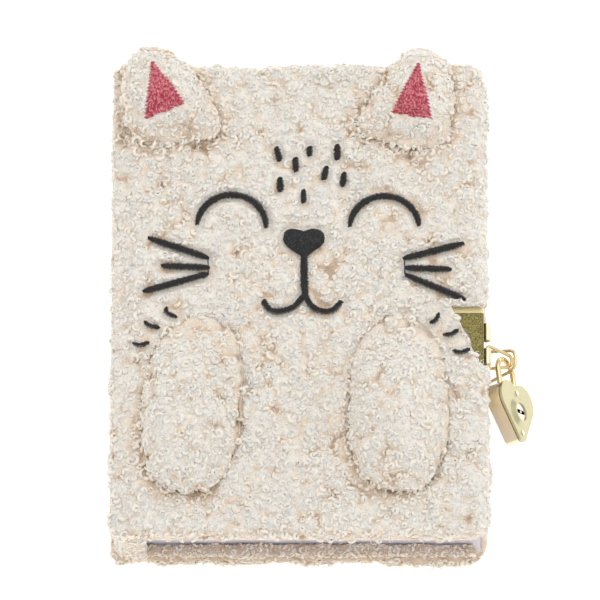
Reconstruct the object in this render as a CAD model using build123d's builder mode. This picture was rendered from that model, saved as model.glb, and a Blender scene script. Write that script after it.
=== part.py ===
from build123d import *
import math
import os

os.makedirs("parts", exist_ok=True)

# Text block of A6 leaves
page_width = 105
page_height = 148
section_count = 8
section_thickness = 1.9
leaf_thickness = 0.3
leaf_gap = 0.05
turning_leaves = 3
lining_thickness = 1.0
band_radius = 0.9
strip_thickness = 0.25

# Case: card boards, foam and curly plush cloth
board_thickness = 2.0
padding_thickness = 1.5
pile_thickness = 3.5
paste_thickness = 0.25
square = 2.5
wrap = 3.0
joint_width = 9.0
spine_cloth = 4.5
spine_card = 1.5
fold_gap = 0.1
groove_depth = 3.6
groove_place = 5.4
groove_run = 2.2
outer_round = 4.5
inner_round = 2.0
fore_corner = 8.0
spine_corner = 4.0

# Clips of folded sheet on the fore edge
sheet = 0.7
clip_y = -12.0
clip_length = 20.8
clip_room = 0.3
jaw_outer = 11.6
jaw_inner = 9.0
wall_gap = 0.4
window_head = 13.35
window_bow = 6.15
window_tail = 3.75
knuckle_radius = 1.25
knuckle_reach = 1.1
running_gap = 0.05

# Wire loops, measured along their centre lines
loop_wire = 1.1
knuckle_depth = 10.8
loop_y = -16.1
slit = 0.85
front_loop_slope = -28.4
front_loop_base = 8.0
front_loop_tip = 3.4
front_loop_length = 9.0
front_loop_round = 1.5
back_loop_slope = 39.7
back_loop_base = 10.9
back_loop_tip = 6.2
back_loop_length = 11.6
back_loop_round = 2.4
loop_corner = 1.3
roll_length = 5.6

# Padlock, drawn on a plane through the middle of the shackle bend
lock_reach = 5.05
lock_drop = 4.2
lock_rise = 1.35
lock_yaw = 58.0
lock_pitch = 5.8
lock_roll = 4.7
shackle_wire = 1.7
bend_radius = 4.6
heart_drop = 9.9
heart_half = 9.6
lobe_radius = 5.5
heart_tip = 15.0
tip_round = 2.0
case_back = 2.9
case_front = 2.1
case_wall = 0.7
plate_thickness = 0.8
plate_lip = 0.25
short_leg_depth = 3.0
long_leg_tail = 1.7
plug_drop = 4.1
plug_radius = 2.9
plug_face = 3.4
boss_radius = 5.2
boss_rim = 3.6
boss_height = 0.9
disc_radius = 2.5
disc_half = 0.85
disc_top = 0.9
tooth_radius = 4.4
tooth_width = 1.0
tooth_room = 0.1
pivot_radius = 1.0
pivot_length = 1.1
flat_rise = 1.0
flat_place = 4.5
keyway_width = 1.3
keyway_length = 4.6
keyway_depth = 1.4
post_radius = 0.45
rivet_radius = 0.55
rivet_head = 0.8
rivet_stand = 0.35
rivet_depth = 2.0
head_rivet = 2.3
tail_rivet = -11.1

# Ears and paws, stuffed; the ears stand in from the side edges and below the head
left_ear_inset = 20.45
left_ear_below = 27.0
left_ear_tilt = 9.0
right_ear_inset = 27.25
right_ear_below = 27.5
right_ear_tilt = -11.5
ear_length = 31.6
ear_stations = (
    (-0.05, 25, 2),
    (0, 29.5, 4.8),
    (0.35, 27, 7),
    (0.6, 22.5, 7),
    (0.8, 17, 5.8),
    (0.93, 11, 3.8),
    (1, 5, 1.4),
)
patch_thickness = 0.5
paw_middle = 31.2
paw_drift = 4.4
paw_stations = (
    (-6, 0, 10, 3),
    (-9.5, 0.05, 19.5, 6.5),
    (-16, 0.15, 28, 9.8),
    (-29, 0.35, 32, 11.8),
    (-44, 0.6, 33, 11.8),
    (-55, 0.85, 29, 10.2),
    (-61.5, 0.95, 21, 7),
    (-65, 1, 10, 3.2),
)

# Embroidery threads laid on the pile
thread_height = 0.6
stroke = 2.0

cover_width = joint_width + page_width + square + wrap
cover_height = page_height + 2 * (square + wrap)
x_left = -cover_width / 2
x_right = cover_width / 2
x_gutter = x_left + joint_width
x_fore = x_gutter + page_width
board_outer = pile_thickness + padding_thickness
board_inner = board_outer + board_thickness
cover_thickness = board_inner + paste_thickness
board_left = x_left + groove_place + groove_run
board_width = x_right - wrap - board_left
board_middle = board_left + board_width / 2
board_height = page_height + 2 * square
leaf_pitch = leaf_thickness + leaf_gap
z_sections = cover_thickness + leaf_thickness
z_leaves = z_sections + section_count * section_thickness
z_front = z_leaves + (turning_leaves + 1) * leaf_pitch
z_top = z_front + cover_thickness
x_wall = x_right - wrap + wall_gap
x_knuckle = x_wall + sheet + knuckle_reach


def keep(part, name):
    part.label = name
    export_step(part, f"parts/{name}.step")


def level(side, depth):
    """Height of a layer that lies a depth inside the outer face of a cover."""
    return z_top - depth if side > 0 else depth


def layer(side, outer, inner):
    """Plane under a layer between two depths of a cover."""
    return Plane.XY.offset(min(level(side, outer), level(side, inner)))


clip_profile = (
    (x_wall - jaw_outer, pile_thickness - sheet),
    (x_wall + sheet, pile_thickness - sheet),
    (x_wall + sheet, board_inner),
    (x_wall - jaw_inner, board_inner),
    (x_wall - jaw_inner, board_inner - sheet),
    (x_wall, board_inner - sheet),
    (x_wall, pile_thickness),
    (x_wall - jaw_outer, pile_thickness),
)
clip_bends = (0, 0.9, 0.9, 0, 0, 0.2, 0.2, 0)
cloth_profile = (
    (x_left + fold_gap, cover_thickness),
    (x_left + fold_gap, groove_depth / 2),
    (x_left + groove_place - 0.4, groove_depth / 2),
    (x_left + groove_place, groove_depth),
    (x_left + groove_place + groove_run, 0),
    (x_right, 0),
    (x_right, cover_thickness),
)
cloth_rounds = (0, spine_corner - 0.4, 0.6, 0.3, 1.6, outer_round, inner_round)
cloth_ends = (
    (-cover_height / 2, cover_thickness),
    (-cover_height / 2, 0),
    (cover_height / 2, 0),
    (cover_height / 2, cover_thickness),
)
clip_head = clip_y + clip_length / 2 + clip_room
clip_tail = clip_y - clip_length / 2 - clip_room
clip_window = (
    (x_right - window_head, clip_head),
    (x_right + wrap, clip_head),
    (x_right + wrap, clip_tail),
    (x_right - window_tail, clip_tail),
    (x_right - window_bow, clip_y),
)

# Both covers: board, foam, cloth and pastedown
for side, cover in ((1, "front"), (-1, "back")):
    with BuildPart() as board:
        with BuildSketch(layer(side, board_outer, board_inner)):
            with Locations((board_middle, 0)):
                Rectangle(board_width, board_height)
        extrude(amount=board_thickness)
        with BuildSketch(layer(side, board_inner - sheet, board_inner)):
            with Locations((x_wall - jaw_inner / 2, clip_y)):
                Rectangle(jaw_inner + clip_room, clip_length + 2 * clip_room)
        extrude(amount=sheet, mode=Mode.SUBTRACT)
    keep(board.part, f"{cover}_board")

    with BuildPart() as padding:
        with BuildSketch(layer(side, pile_thickness, board_outer)):
            with Locations((board_middle, 0)):
                Rectangle(board_width, board_height)
        extrude(amount=padding_thickness)
    keep(padding.part, f"{cover}_padding")

    with BuildPart() as pastedown:
        with BuildSketch(layer(side, board_inner, cover_thickness)):
            with Locations((board_middle, 0)):
                Rectangle(board_width, board_height)
        extrude(amount=paste_thickness)
    keep(pastedown.part, f"{cover}_pastedown")

    with BuildPart() as cloth:
        with BuildSketch(Plane.XZ):
            with BuildLine():
                FilletPolyline(
                    [(x, level(side, depth)) for x, depth in cloth_profile],
                    radius=cloth_rounds,
                    close=True,
                )
            make_face()
        extrude(amount=cover_height / 2, both=True)
        with BuildSketch(Plane.YZ):
            with BuildLine():
                FilletPolyline(
                    [(y, level(side, depth)) for y, depth in cloth_ends],
                    radius=(inner_round, outer_round, outer_round, inner_round),
                    close=True,
                )
            make_face()
        extrude(amount=cover_width, both=True, mode=Mode.INTERSECT)
        with BuildSketch():
            plan = Rectangle(cover_width, cover_height)
            fillet(plan.vertices().group_by(Axis.X)[-1], fore_corner)
            fillet(plan.vertices().group_by(Axis.X)[0], spine_corner)
        extrude(amount=z_top, mode=Mode.INTERSECT)
        with BuildSketch(layer(side, pile_thickness, cover_thickness)):
            with Locations((board_middle, 0)):
                Rectangle(board_width, board_height)
        extrude(amount=cover_thickness - pile_thickness, mode=Mode.SUBTRACT)
        with BuildSketch(layer(side, pile_thickness - sheet, pile_thickness)):
            with Locations((x_wall - jaw_outer / 2, clip_y)):
                Rectangle(jaw_outer + clip_room, clip_length + 2 * clip_room)
        extrude(amount=sheet, mode=Mode.SUBTRACT)
        with BuildSketch(layer(side, 0, pile_thickness)):
            with BuildLine():
                Polyline(*clip_window, close=True)
            make_face()
        extrude(amount=pile_thickness, mode=Mode.SUBTRACT)
        with BuildSketch(layer(side, 0, cover_thickness)):
            with Locations((x_right, clip_y)):
                Rectangle(2 * wrap, clip_length + 2 * clip_room)
        extrude(amount=cover_thickness, mode=Mode.SUBTRACT)
    keep(cloth.part, f"{cover}_plush")

# Spine: cloth, card and the paper strips over the two joints
with BuildPart() as spine_plush:
    with BuildSketch(Plane.XY.offset(cover_thickness + fold_gap)):
        with Locations((x_left + spine_cloth / 2, 0)):
            spine_plan = Rectangle(spine_cloth, cover_height)
        fillet(spine_plan.vertices().group_by(Axis.X)[0], spine_corner)
    extrude(amount=z_front - cover_thickness - 2 * fold_gap)
keep(spine_plush.part, "spine_plush")

strip_low = cover_thickness + fold_gap
strip_high = z_leaves - fold_gap - strip_thickness
joint_inner = joint_width - spine_cloth
for name, height in (("front_joint_strip", strip_high), ("back_joint_strip", strip_low)):
    with BuildPart() as strip:
        with BuildSketch(Plane.XY.offset(height)):
            with Locations((x_gutter - joint_inner / 2, 0)):
                Rectangle(joint_inner, page_height)
        extrude(amount=strip_thickness)
    keep(strip.part, name)

core_low = strip_low + strip_thickness
core_height = strip_high - core_low
with BuildPart() as spine_board:
    with BuildSketch(Plane.XY.offset(core_low)):
        with Locations((x_left + spine_cloth + spine_card / 2, 0)):
            Rectangle(spine_card, board_height)
    extrude(amount=core_height)
keep(spine_board.part, "spine_board")

# Text block: sewn sections, lining, bands, fixed end leaf and turning leaves
with BuildPart() as spine_lining:
    with BuildSketch(Plane.XY.offset(core_low)):
        with Locations((x_gutter - lining_thickness / 2, 0)):
            Rectangle(lining_thickness, page_height)
    extrude(amount=core_height)
keep(spine_lining.part, "spine_lining")

for number in range(section_count):
    low = z_sections + number * section_thickness
    high = low + section_thickness
    with BuildPart() as section:
        with BuildSketch(Plane.XZ):
            with BuildLine():
                FilletPolyline(
                    [(x_gutter, low), (x_fore, low), (x_fore, high), (x_gutter, high)],
                    radius=(section_thickness * 0.45, 0, 0, section_thickness * 0.45),
                    close=True,
                )
            make_face()
        extrude(amount=page_height / 2, both=True)
    keep(section.part, f"section_{number + 1}")

for name, end in (("head_band", 1), ("tail_band", -1)):
    with BuildPart() as band:
        with BuildSketch(Plane.XY.offset(z_sections)):
            with Locations((x_gutter + 2 * band_radius, end * (page_height / 2 + band_radius))):
                Circle(band_radius)
        extrude(amount=section_count * section_thickness)
    keep(band.part, name)

leaf_heights = {"back_flyleaf": cover_thickness}
leaf_heights["front_flyleaf"] = z_front - leaf_thickness
for number in range(1, turning_leaves + 1):
    leaf_heights[f"leaf_{number}"] = z_front - leaf_thickness - number * leaf_pitch
for name, height in leaf_heights.items():
    with BuildPart() as leaf:
        with BuildSketch(Plane.XY.offset(height)):
            with Locations((x_gutter + page_width / 2, 0)):
                Rectangle(page_width, page_height)
        extrude(amount=leaf_thickness)
    keep(leaf.part, name)

# Stuffed ears with a stitched patch each
left_ear_base = (x_left + left_ear_inset, cover_height / 2 - left_ear_below)
right_ear_base = (x_right - right_ear_inset, cover_height / 2 - right_ear_below)
ears = (
    ("left", left_ear_base, left_ear_tilt, ((-7.5, 24.9), (-9.5, 6.4), (2.6, 11.0))),
    ("right", right_ear_base, right_ear_tilt, ((5.1, 24.8), (-3.1, 8.9), (9.1, 6.7))),
)
for side, base, tilt, patch in ears:
    along = Vector(-math.sin(math.radians(tilt)), math.cos(math.radians(tilt)), 0)
    across = Vector(-along.Y, along.X, 0)
    with BuildPart() as ear:
        for share, width, height in ear_stations:
            at = Vector(*base, z_top) + along * (share * ear_length)
            with BuildSketch(Plane(at, x_dir=across, z_dir=along)):
                with BuildLine():
                    Line((-width / 2, 0), (width / 2, 0))
                    ThreePointArc((width / 2, 0), (0, height), (-width / 2, 0))
                make_face()
        loft()
    keep(ear.part, f"ear_{side}")

    with BuildPart() as ear_patch:
        add(ear.part.moved(Location((0, 0, patch_thickness))))
        with BuildSketch(Plane.XY.offset(z_top)):
            with BuildLine():
                FilletPolyline([(base[0] + x, base[1] + y) for x, y in patch], radius=0.5, close=True)
            make_face()
        extrude(amount=3 * patch_thickness + max(s[2] for s in ear_stations), mode=Mode.INTERSECT)
        add(ear.part, mode=Mode.SUBTRACT)
    keep(ear_patch.part, f"ear_patch_{side}")

# Stuffed paws on the front cover
for name, middle, drift in (("paw_left", -paw_middle, -paw_drift), ("paw_right", paw_middle, 0)):
    with BuildPart() as paw:
        for y, share, width, height in paw_stations:
            with BuildSketch(Plane((middle + drift * share, y, z_top), x_dir=(1, 0, 0), z_dir=(0, -1, 0))):
                with BuildLine():
                    Line((-width / 2, 0), (width / 2, 0))
                    ThreePointArc((width / 2, 0), (0, height), (-width / 2, 0))
                make_face()
        loft()
    keep(paw.part, name)

# Embroidered face
face_plane = Plane.XY.offset(z_top)
eyes = (
    ("eye_left", ((-32.4, 24.8), (-22.1, 34.8), (-10.4, 23.8))),
    ("eye_right", ((15.6, 24.0), (25.9, 34.6), (37.7, 24.4))),
)
for name, points in eyes:
    with BuildPart() as eye:
        with BuildSketch(face_plane):
            with BuildLine():
                ThreePointArc(*points)
            trace(line_width=stroke)
        extrude(amount=thread_height)
    keep(eye.part, name)

nose_x = 1.3
with BuildPart() as nose:
    with BuildSketch(face_plane):
        with BuildLine():
            ThreePointArc((nose_x, 22.3), (nose_x - 4.2, 23.3), (nose_x - 6.4, 20.1))
            ThreePointArc((nose_x - 6.4, 20.1), (nose_x - 4.4, 16.3), (nose_x, 13.9))
            ThreePointArc((nose_x, 13.9), (nose_x + 4.4, 16.3), (nose_x + 6.4, 20.1))
            ThreePointArc((nose_x + 6.4, 20.1), (nose_x + 4.2, 23.3), (nose_x, 22.3))
        make_face()
    extrude(amount=thread_height)
keep(nose.part, "nose")

with BuildPart() as mouth:
    with BuildSketch(face_plane):
        with BuildLine():
            ThreePointArc((nose_x, 0.2), (-7.4, -4.8), (-11.3, -0.9))
        trace(line_width=stroke)
        with BuildLine():
            ThreePointArc((nose_x, 0.2), (9.1, -4.9), (12.9, -1.5))
        trace(line_width=stroke)
        with BuildLine():
            Line((nose_x, 13.3), (nose_x, -0.6))
        trace(line_width=stroke * 1.2)
    extrude(amount=thread_height)
keep(mouth.part, "mouth")

strokes = {
    "whiskers_left": (
        ((-47.8, 20.0), (-28.7, 13.6)),
        ((-43.6, 10.7), (-28.5, 10.1)),
        ((-49.1, 1.9), (-29.0, 7.1)),
    ),
    "whiskers_right": (
        ((51.6, 18.6), (32.9, 13.2)),
        ((47.8, 9.5), (33.4, 9.8)),
        ((51.8, -0.5), (33.7, 6.5)),
    ),
    "claws_left": (
        ((-42.3, -3.9), (-39.6, -6.0)),
        ((-49.0, -8.6), (-44.6, -10.0)),
        ((-52.3, -15.6), (-48.0, -15.4)),
    ),
    "claws_right": (
        ((43.9, -5.6), (41.6, -8.2)),
        ((49.4, -11.2), (45.4, -12.9)),
        ((53.0, -17.7), (48.6, -18.2)),
    ),
    "forehead_spots": (
        ((-6.6, 50.6), (-7.4, 47.0)),
        ((-1.2, 47.0), (-1.4, 43.4)),
        ((3.2, 50.6), (3.0, 48.6)),
        ((12.1, 51.3), (11.7, 47.7)),
        ((8.1, 43.8), (7.7, 40.6)),
        ((14.1, 41.8), (13.5, 38.2)),
        ((-6.0, 39.9), (-6.6, 36.7)),
        ((1.4, 35.8), (1.0, 32.7)),
    ),
}
for name, lines in strokes.items():
    with BuildPart() as stitched:
        with BuildSketch(face_plane):
            for start, end in lines:
                with BuildLine():
                    Line(start, end)
                trace(line_width=stroke)
        extrude(amount=thread_height)
    keep(stitched.part, name)

# Clips with a rolled knuckle, and the wire loops that turn in them
clips = (
    ("front", 1, front_loop_slope, front_loop_base, front_loop_tip, front_loop_length, front_loop_round),
    ("back", -1, back_loop_slope, back_loop_base, back_loop_tip, back_loop_length, back_loop_round),
)
for cover, side, slope, base, tip, length, bend in clips:
    knuckle_z = level(side, knuckle_depth)
    knuckle_length = base - loop_wire - 2 * slit
    knuckle_head = loop_y + knuckle_length / 2
    tongue = knuckle_depth - board_inner + 2 * sheet
    lengths = [(knuckle_head, knuckle_length)]
    if side > 0:
        lengths.append((knuckle_head + loop_wire + 2 * slit + roll_length, roll_length))
    with BuildPart() as clip:
        with BuildSketch(Plane.XZ.offset(-clip_y)):
            with BuildLine():
                FilletPolyline(
                    [(x, level(side, depth)) for x, depth in clip_profile],
                    radius=clip_bends,
                    close=True,
                )
            make_face()
        extrude(amount=clip_length / 2, both=True)
        for head, run in lengths:
            with BuildSketch(Plane.XZ.offset(-head)):
                with Locations((x_wall + sheet / 2, level(side, knuckle_depth - tongue / 2))):
                    Rectangle(sheet, tongue)
                with Locations((x_knuckle, knuckle_z)):
                    Circle(knuckle_radius)
                    Circle(loop_wire / 2 + running_gap, mode=Mode.SUBTRACT)
            extrude(amount=run)
    keep(clip.part, f"{cover}_clip")

    rise = math.radians(slope)
    loop_plane = Plane(
        (x_knuckle, loop_y, knuckle_z),
        x_dir=(math.cos(rise), 0, math.sin(rise)),
        z_dir=(-math.sin(rise), 0, math.cos(rise)),
    )
    with BuildPart() as loop:
        with BuildLine(loop_plane) as ring:
            FilletPolyline(
                [(0, -base / 2), (length, -tip / 2), (length, tip / 2), (0, base / 2)],
                radius=(loop_corner, bend, bend, loop_corner),
                close=True,
            )
        with BuildSketch(Plane(ring.line @ 0, z_dir=ring.line % 0)):
            Circle(loop_wire / 2)
        sweep()
    keep(loop.part, f"{cover}_loop")

# Padlock
yaw = math.radians(lock_yaw)
flat_lock = Plane(
    (x_right + lock_reach, loop_y - lock_drop, z_top / 2 + lock_rise),
    x_dir=(math.cos(yaw), 0, -math.sin(yaw)),
    z_dir=(math.sin(yaw), 0, math.cos(yaw)),
)
lock = Plane(flat_lock.location * Rot(X=-lock_pitch) * Rot(Z=lock_roll))
lobe_x = heart_half - lobe_radius
notch_y = math.sqrt(lobe_radius**2 - lobe_x**2) - heart_drop
tip_y = -heart_drop - heart_tip
side_lean = math.asin(lobe_radius / math.hypot(lobe_x, heart_tip)) + math.atan(lobe_x / heart_tip)
side_x = lobe_x + lobe_radius * math.cos(side_lean)
side_y = -heart_drop - lobe_radius * math.sin(side_lean)
plug_y = -heart_drop - plug_drop
lobe_top = math.sqrt(lobe_radius**2 - (bend_radius - lobe_x) ** 2) - heart_drop
leg_bore = shackle_wire / 2 + running_gap
short_leg_end = lobe_top - short_leg_depth
long_leg_end = plug_y - long_leg_tail
rivet_places = ((0, head_rivet - heart_drop), (0, tail_rivet - heart_drop))
hearts = {}
for inset in (0, case_wall, -plate_lip):
    with BuildSketch() as outline:
        with BuildLine():
            ThreePointArc((0, notch_y), (lobe_x, lobe_radius - heart_drop), (side_x, side_y))
            Polyline((side_x, side_y), (0, tip_y), (-side_x, side_y))
            ThreePointArc((-side_x, side_y), (-lobe_x, lobe_radius - heart_drop), (0, notch_y))
        make_face()
        fillet(outline.vertices().sort_by(Axis.Y)[0], tip_round)
        if inset:
            offset(amount=-inset, mode=Mode.REPLACE)
    hearts[inset] = outline.sketch

leg_plane = Plane(lock.origin, x_dir=lock.x_dir, z_dir=-lock.y_dir)
leg_places = ((-bend_radius, short_leg_end), (bend_radius, long_leg_end))

with BuildPart() as padlock_case:
    with BuildSketch(lock.offset(-case_back)):
        add(hearts[0])
    extrude(amount=case_back + case_front)
    with BuildSketch(lock.offset(case_wall - case_back)):
        add(hearts[case_wall])
    extrude(amount=case_back + case_front, mode=Mode.SUBTRACT)
    with BuildSketch(leg_plane):
        with Locations((-bend_radius, 0), (bend_radius, 0)):
            Circle(leg_bore)
    extrude(amount=heart_drop, mode=Mode.SUBTRACT)
keep(padlock_case.part, "padlock_case")

with BuildPart() as padlock_core:
    with BuildSketch(lock.offset(case_wall - case_back)):
        add(hearts[case_wall])
    extrude(amount=case_front + case_back - case_wall)
    for x, end in leg_places:
        with BuildSketch(leg_plane):
            with Locations((x, 0)):
                Circle(leg_bore)
        extrude(amount=running_gap - end, mode=Mode.SUBTRACT)
    with BuildSketch(lock.offset(disc_top)):
        with Locations((0, plug_y)):
            Circle(plug_radius + running_gap)
    extrude(amount=case_front, mode=Mode.SUBTRACT)
    with BuildSketch(lock.offset(-disc_half - running_gap)):
        with Locations((0, plug_y)):
            Circle(tooth_radius + tooth_room)
    extrude(amount=disc_half + disc_top + running_gap, mode=Mode.SUBTRACT)
    with BuildSketch(lock.offset(-disc_half - pivot_length - running_gap)):
        with Locations((0, plug_y)):
            Circle(pivot_radius + running_gap)
    extrude(amount=pivot_length, mode=Mode.SUBTRACT)
    with BuildSketch(lock.offset(case_front - rivet_depth)):
        with Locations(*rivet_places):
            Circle(rivet_radius)
    extrude(amount=rivet_depth, mode=Mode.SUBTRACT)
keep(padlock_core.part, "padlock_core")

plate_top = case_front + plate_thickness
with BuildPart() as padlock_face:
    with BuildSketch(lock.offset(case_front)):
        add(hearts[-plate_lip])
    extrude(amount=plate_thickness)
    with BuildSketch(lock.offset(plate_top)):
        with Locations((0, plug_y)):
            Circle(boss_radius)
    with BuildSketch(lock.offset(plate_top + boss_height)):
        with Locations((0, plug_y)):
            Circle(boss_rim)
    loft()
    with BuildSketch(lock.offset(case_front)):
        with Locations((0, plug_y)):
            Circle(plug_radius + running_gap)
    extrude(amount=plate_thickness + boss_height, mode=Mode.SUBTRACT)
    with BuildSketch(lock.offset(case_front)):
        with Locations(*rivet_places):
            Circle(rivet_radius)
    extrude(amount=plate_thickness, mode=Mode.SUBTRACT)
keep(padlock_face.part, "padlock_face")

with BuildPart() as padlock_rivets:
    with BuildSketch(lock.offset(case_front - rivet_depth)):
        with Locations(*rivet_places):
            Circle(rivet_radius)
    extrude(amount=rivet_depth + plate_thickness)
    with BuildSketch(lock.offset(plate_top)):
        with Locations(*rivet_places):
            Circle(rivet_head)
    extrude(amount=rivet_stand)
keep(padlock_rivets.part, "padlock_rivets")

with BuildPart() as padlock_plug:
    with BuildSketch(lock.offset(-disc_half)):
        with Locations((0, plug_y)):
            Circle(disc_radius)
        with Locations((tooth_radius / 2, plug_y)):
            Rectangle(tooth_radius, tooth_width)
    extrude(amount=disc_half + disc_half)
    with BuildSketch(lock.offset(disc_half)):
        with Locations((0, plug_y)):
            Circle(disc_radius)
    extrude(amount=disc_top - disc_half)
    with BuildSketch(lock.offset(disc_top)):
        with Locations((0, plug_y)):
            Circle(plug_radius)
    extrude(amount=plug_face - disc_top)
    with BuildSketch(lock.offset(-disc_half - pivot_length)):
        with Locations((0, plug_y)):
            Circle(pivot_radius)
    extrude(amount=pivot_length)
    with BuildSketch(lock.offset(plug_face - keyway_depth)):
        with Locations((0, plug_y)):
            SlotOverall(keyway_length, keyway_width)
            Circle(post_radius, mode=Mode.SUBTRACT)
    extrude(amount=keyway_depth, mode=Mode.SUBTRACT)
keep(padlock_plug.part, "padlock_plug")

with BuildPart() as padlock_shackle:
    with BuildLine(lock) as hook:
        Line((-bend_radius, short_leg_end), (-bend_radius, 0))
        ThreePointArc((-bend_radius, 0), (0, bend_radius), (bend_radius, 0))
        Line((bend_radius, 0), (bend_radius, long_leg_end))
    with BuildSketch(Plane(hook.line @ 0, z_dir=hook.line % 0)):
        Circle(shackle_wire / 2)
    sweep()
    with BuildSketch(lock.offset(-shackle_wire)):
        with Locations((flat_place - shackle_wire, plug_y + flat_rise)):
            Rectangle(2 * shackle_wire, flat_rise + long_leg_tail, align=(Align.CENTER, Align.MAX))
    extrude(amount=2 * shackle_wire, mode=Mode.SUBTRACT)
keep(padlock_shackle.part, "padlock_shackle")
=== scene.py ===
import math

import bmesh
import bpy
import numpy as np
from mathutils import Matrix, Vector
from mathutils.bvhtree import BVHTree
from mathutils.kdtree import KDTree


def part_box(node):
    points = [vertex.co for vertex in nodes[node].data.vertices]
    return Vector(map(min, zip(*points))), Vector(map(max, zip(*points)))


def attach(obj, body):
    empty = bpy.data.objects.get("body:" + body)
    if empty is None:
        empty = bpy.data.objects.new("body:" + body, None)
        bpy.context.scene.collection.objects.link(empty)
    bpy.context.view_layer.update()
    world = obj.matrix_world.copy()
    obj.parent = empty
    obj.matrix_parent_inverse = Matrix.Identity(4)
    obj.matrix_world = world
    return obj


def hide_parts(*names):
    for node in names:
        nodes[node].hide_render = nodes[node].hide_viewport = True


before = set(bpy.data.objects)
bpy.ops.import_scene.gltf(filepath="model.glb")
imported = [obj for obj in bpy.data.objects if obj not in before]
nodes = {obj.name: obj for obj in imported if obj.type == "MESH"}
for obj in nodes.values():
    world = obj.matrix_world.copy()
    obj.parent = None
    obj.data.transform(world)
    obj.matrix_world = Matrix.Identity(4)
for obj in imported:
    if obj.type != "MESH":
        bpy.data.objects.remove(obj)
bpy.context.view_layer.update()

scene = bpy.context.scene
MM = 0.001

# Pale champagne-gold fittings: folded clips, wire loops, a heart padlock with
# a satin face, brighter wire, a nickel key plug and two small rivets.


def shader(name, color, rough, metal=0.0, **more):
    """A principled material; more sets other sockets by name."""
    made = bpy.data.materials.new(name)
    made.use_nodes = True
    bsdf = made.node_tree.nodes["Principled BSDF"]
    bsdf.inputs["Base Color"].default_value = (*color, 1)
    bsdf.inputs["Roughness"].default_value = rough
    bsdf.inputs["Metallic"].default_value = metal
    for socket, value in more.items():
        bsdf.inputs[socket.replace("_", " ")].default_value = value
    return made


def mottle(made, size, low, high, bump=0.0, detail=3.0, spread=(0.35, 0.65), stretch=(1, 1, 1)):
    """Noise in object space that shifts the colour and, if asked, the surface."""
    tree = made.node_tree
    bsdf = tree.nodes["Principled BSDF"]
    place = tree.nodes.new("ShaderNodeTexCoord")
    scale = tree.nodes.new("ShaderNodeMapping")
    scale.inputs["Scale"].default_value = stretch
    noise = tree.nodes.new("ShaderNodeTexNoise")
    noise.inputs["Scale"].default_value = 1 / size
    noise.inputs["Detail"].default_value = detail
    ramp = tree.nodes.new("ShaderNodeValToRGB")
    ramp.color_ramp.elements[0].position = spread[0]
    ramp.color_ramp.elements[1].position = spread[1]
    ramp.color_ramp.elements[0].color = (*low, 1)
    ramp.color_ramp.elements[1].color = (*high, 1)
    tree.links.new(place.outputs["Object"], scale.inputs["Vector"])
    tree.links.new(scale.outputs["Vector"], noise.inputs["Vector"])
    tree.links.new(noise.outputs["Fac"], ramp.inputs["Fac"])
    tree.links.new(ramp.outputs["Color"], bsdf.inputs["Base Color"])
    if bump:
        relief = tree.nodes.new("ShaderNodeBump")
        relief.inputs["Strength"].default_value = 1.0
        relief.inputs["Distance"].default_value = bump
        tree.links.new(noise.outputs["Fac"], relief.inputs["Height"])
        tree.links.new(relief.outputs["Normal"], bsdf.inputs["Normal"])
    return made


def paint(made, *names):
    for name in names:
        nodes[name].data.materials.clear()
        nodes[name].data.materials.append(made)


def below(made, normal, level, color):
    """A second colour where a point lies below a level along a direction, in metres."""
    tree = made.node_tree
    bsdf = tree.nodes["Principled BSDF"]
    place = tree.nodes.new("ShaderNodeTexCoord")
    along = tree.nodes.new("ShaderNodeVectorMath")
    along.operation = "DOT_PRODUCT"
    along.inputs[1].default_value = normal
    under = tree.nodes.new("ShaderNodeMath")
    under.operation = "LESS_THAN"
    under.inputs[1].default_value = level
    mix = tree.nodes.new("ShaderNodeMix")
    mix.data_type = "RGBA"
    if bsdf.inputs["Base Color"].is_linked:
        tree.links.new(bsdf.inputs["Base Color"].links[0].from_socket, mix.inputs["A"])
    else:
        mix.inputs["A"].default_value = bsdf.inputs["Base Color"].default_value
    mix.inputs["B"].default_value = (*color, 1)
    tree.links.new(place.outputs["Object"], along.inputs[0])
    tree.links.new(along.outputs["Value"], under.inputs[0])
    tree.links.new(under.outputs[0], mix.inputs["Factor"])
    tree.links.new(mix.outputs["Result"], bsdf.inputs["Base Color"])
    return made


LOCK_NORMAL = (0.843713, 0.101056, 0.527195)
LOCK_MIDDLE = 61.61 * MM
FACE_GAP_SHADOW = LOCK_MIDDLE + 1.65 * MM
KEYWAY_SHADE = LOCK_MIDDLE + 3.1 * MM
satin_gold = mottle(
    shader("satin_gold", (0.56, 0.52, 0.33), 0.3, 1.0),
    0.4 * MM, (0.53, 0.49, 0.30), (0.60, 0.56, 0.36),
)
# Painted shadow: the case wall is dark brown in a thin band next to the face, for the shaded gap between
# them, and pale gold below that band.
wall_gold = below(shader("wall_gold", (0.20, 0.12, 0.04), 0.3, 1.0), LOCK_NORMAL, FACE_GAP_SHADOW, (0.87, 0.76, 0.53))
wire_gold = shader("wire_gold", (0.80, 0.65, 0.37), 0.12, 1.0)
# The clip is mottled from near-black olive to gold over a fine bump: partly a crumpled finish, partly painted
# glints and dark reflections.
plate_gold = mottle(
    shader("plate_gold", (0.4, 0.34, 0.12), 0.4, 0.85),
    0.4 * MM, (0.07, 0.058, 0.012), (0.36, 0.31, 0.12), bump=0.1 * MM, stretch=(1, 1.6, 1),
)
CLIP_HEAD_HIGHLIGHT = 4.3 * MM
CLIP_EDGE_HIGHLIGHT = 58.7 * MM
# Painted highlight: a pale cream strip along the head edge of the clip.
below(plate_gold, (0, -1, 0), CLIP_HEAD_HIGHLIGHT, (0.86, 0.78, 0.46))
# Painted highlight: bright pale gold over the fold and knuckles at the fore edge of the clip.
below(plate_gold, (-1, 0, 0), -CLIP_EDGE_HIGHLIGHT, (0.93, 0.87, 0.62))
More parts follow.
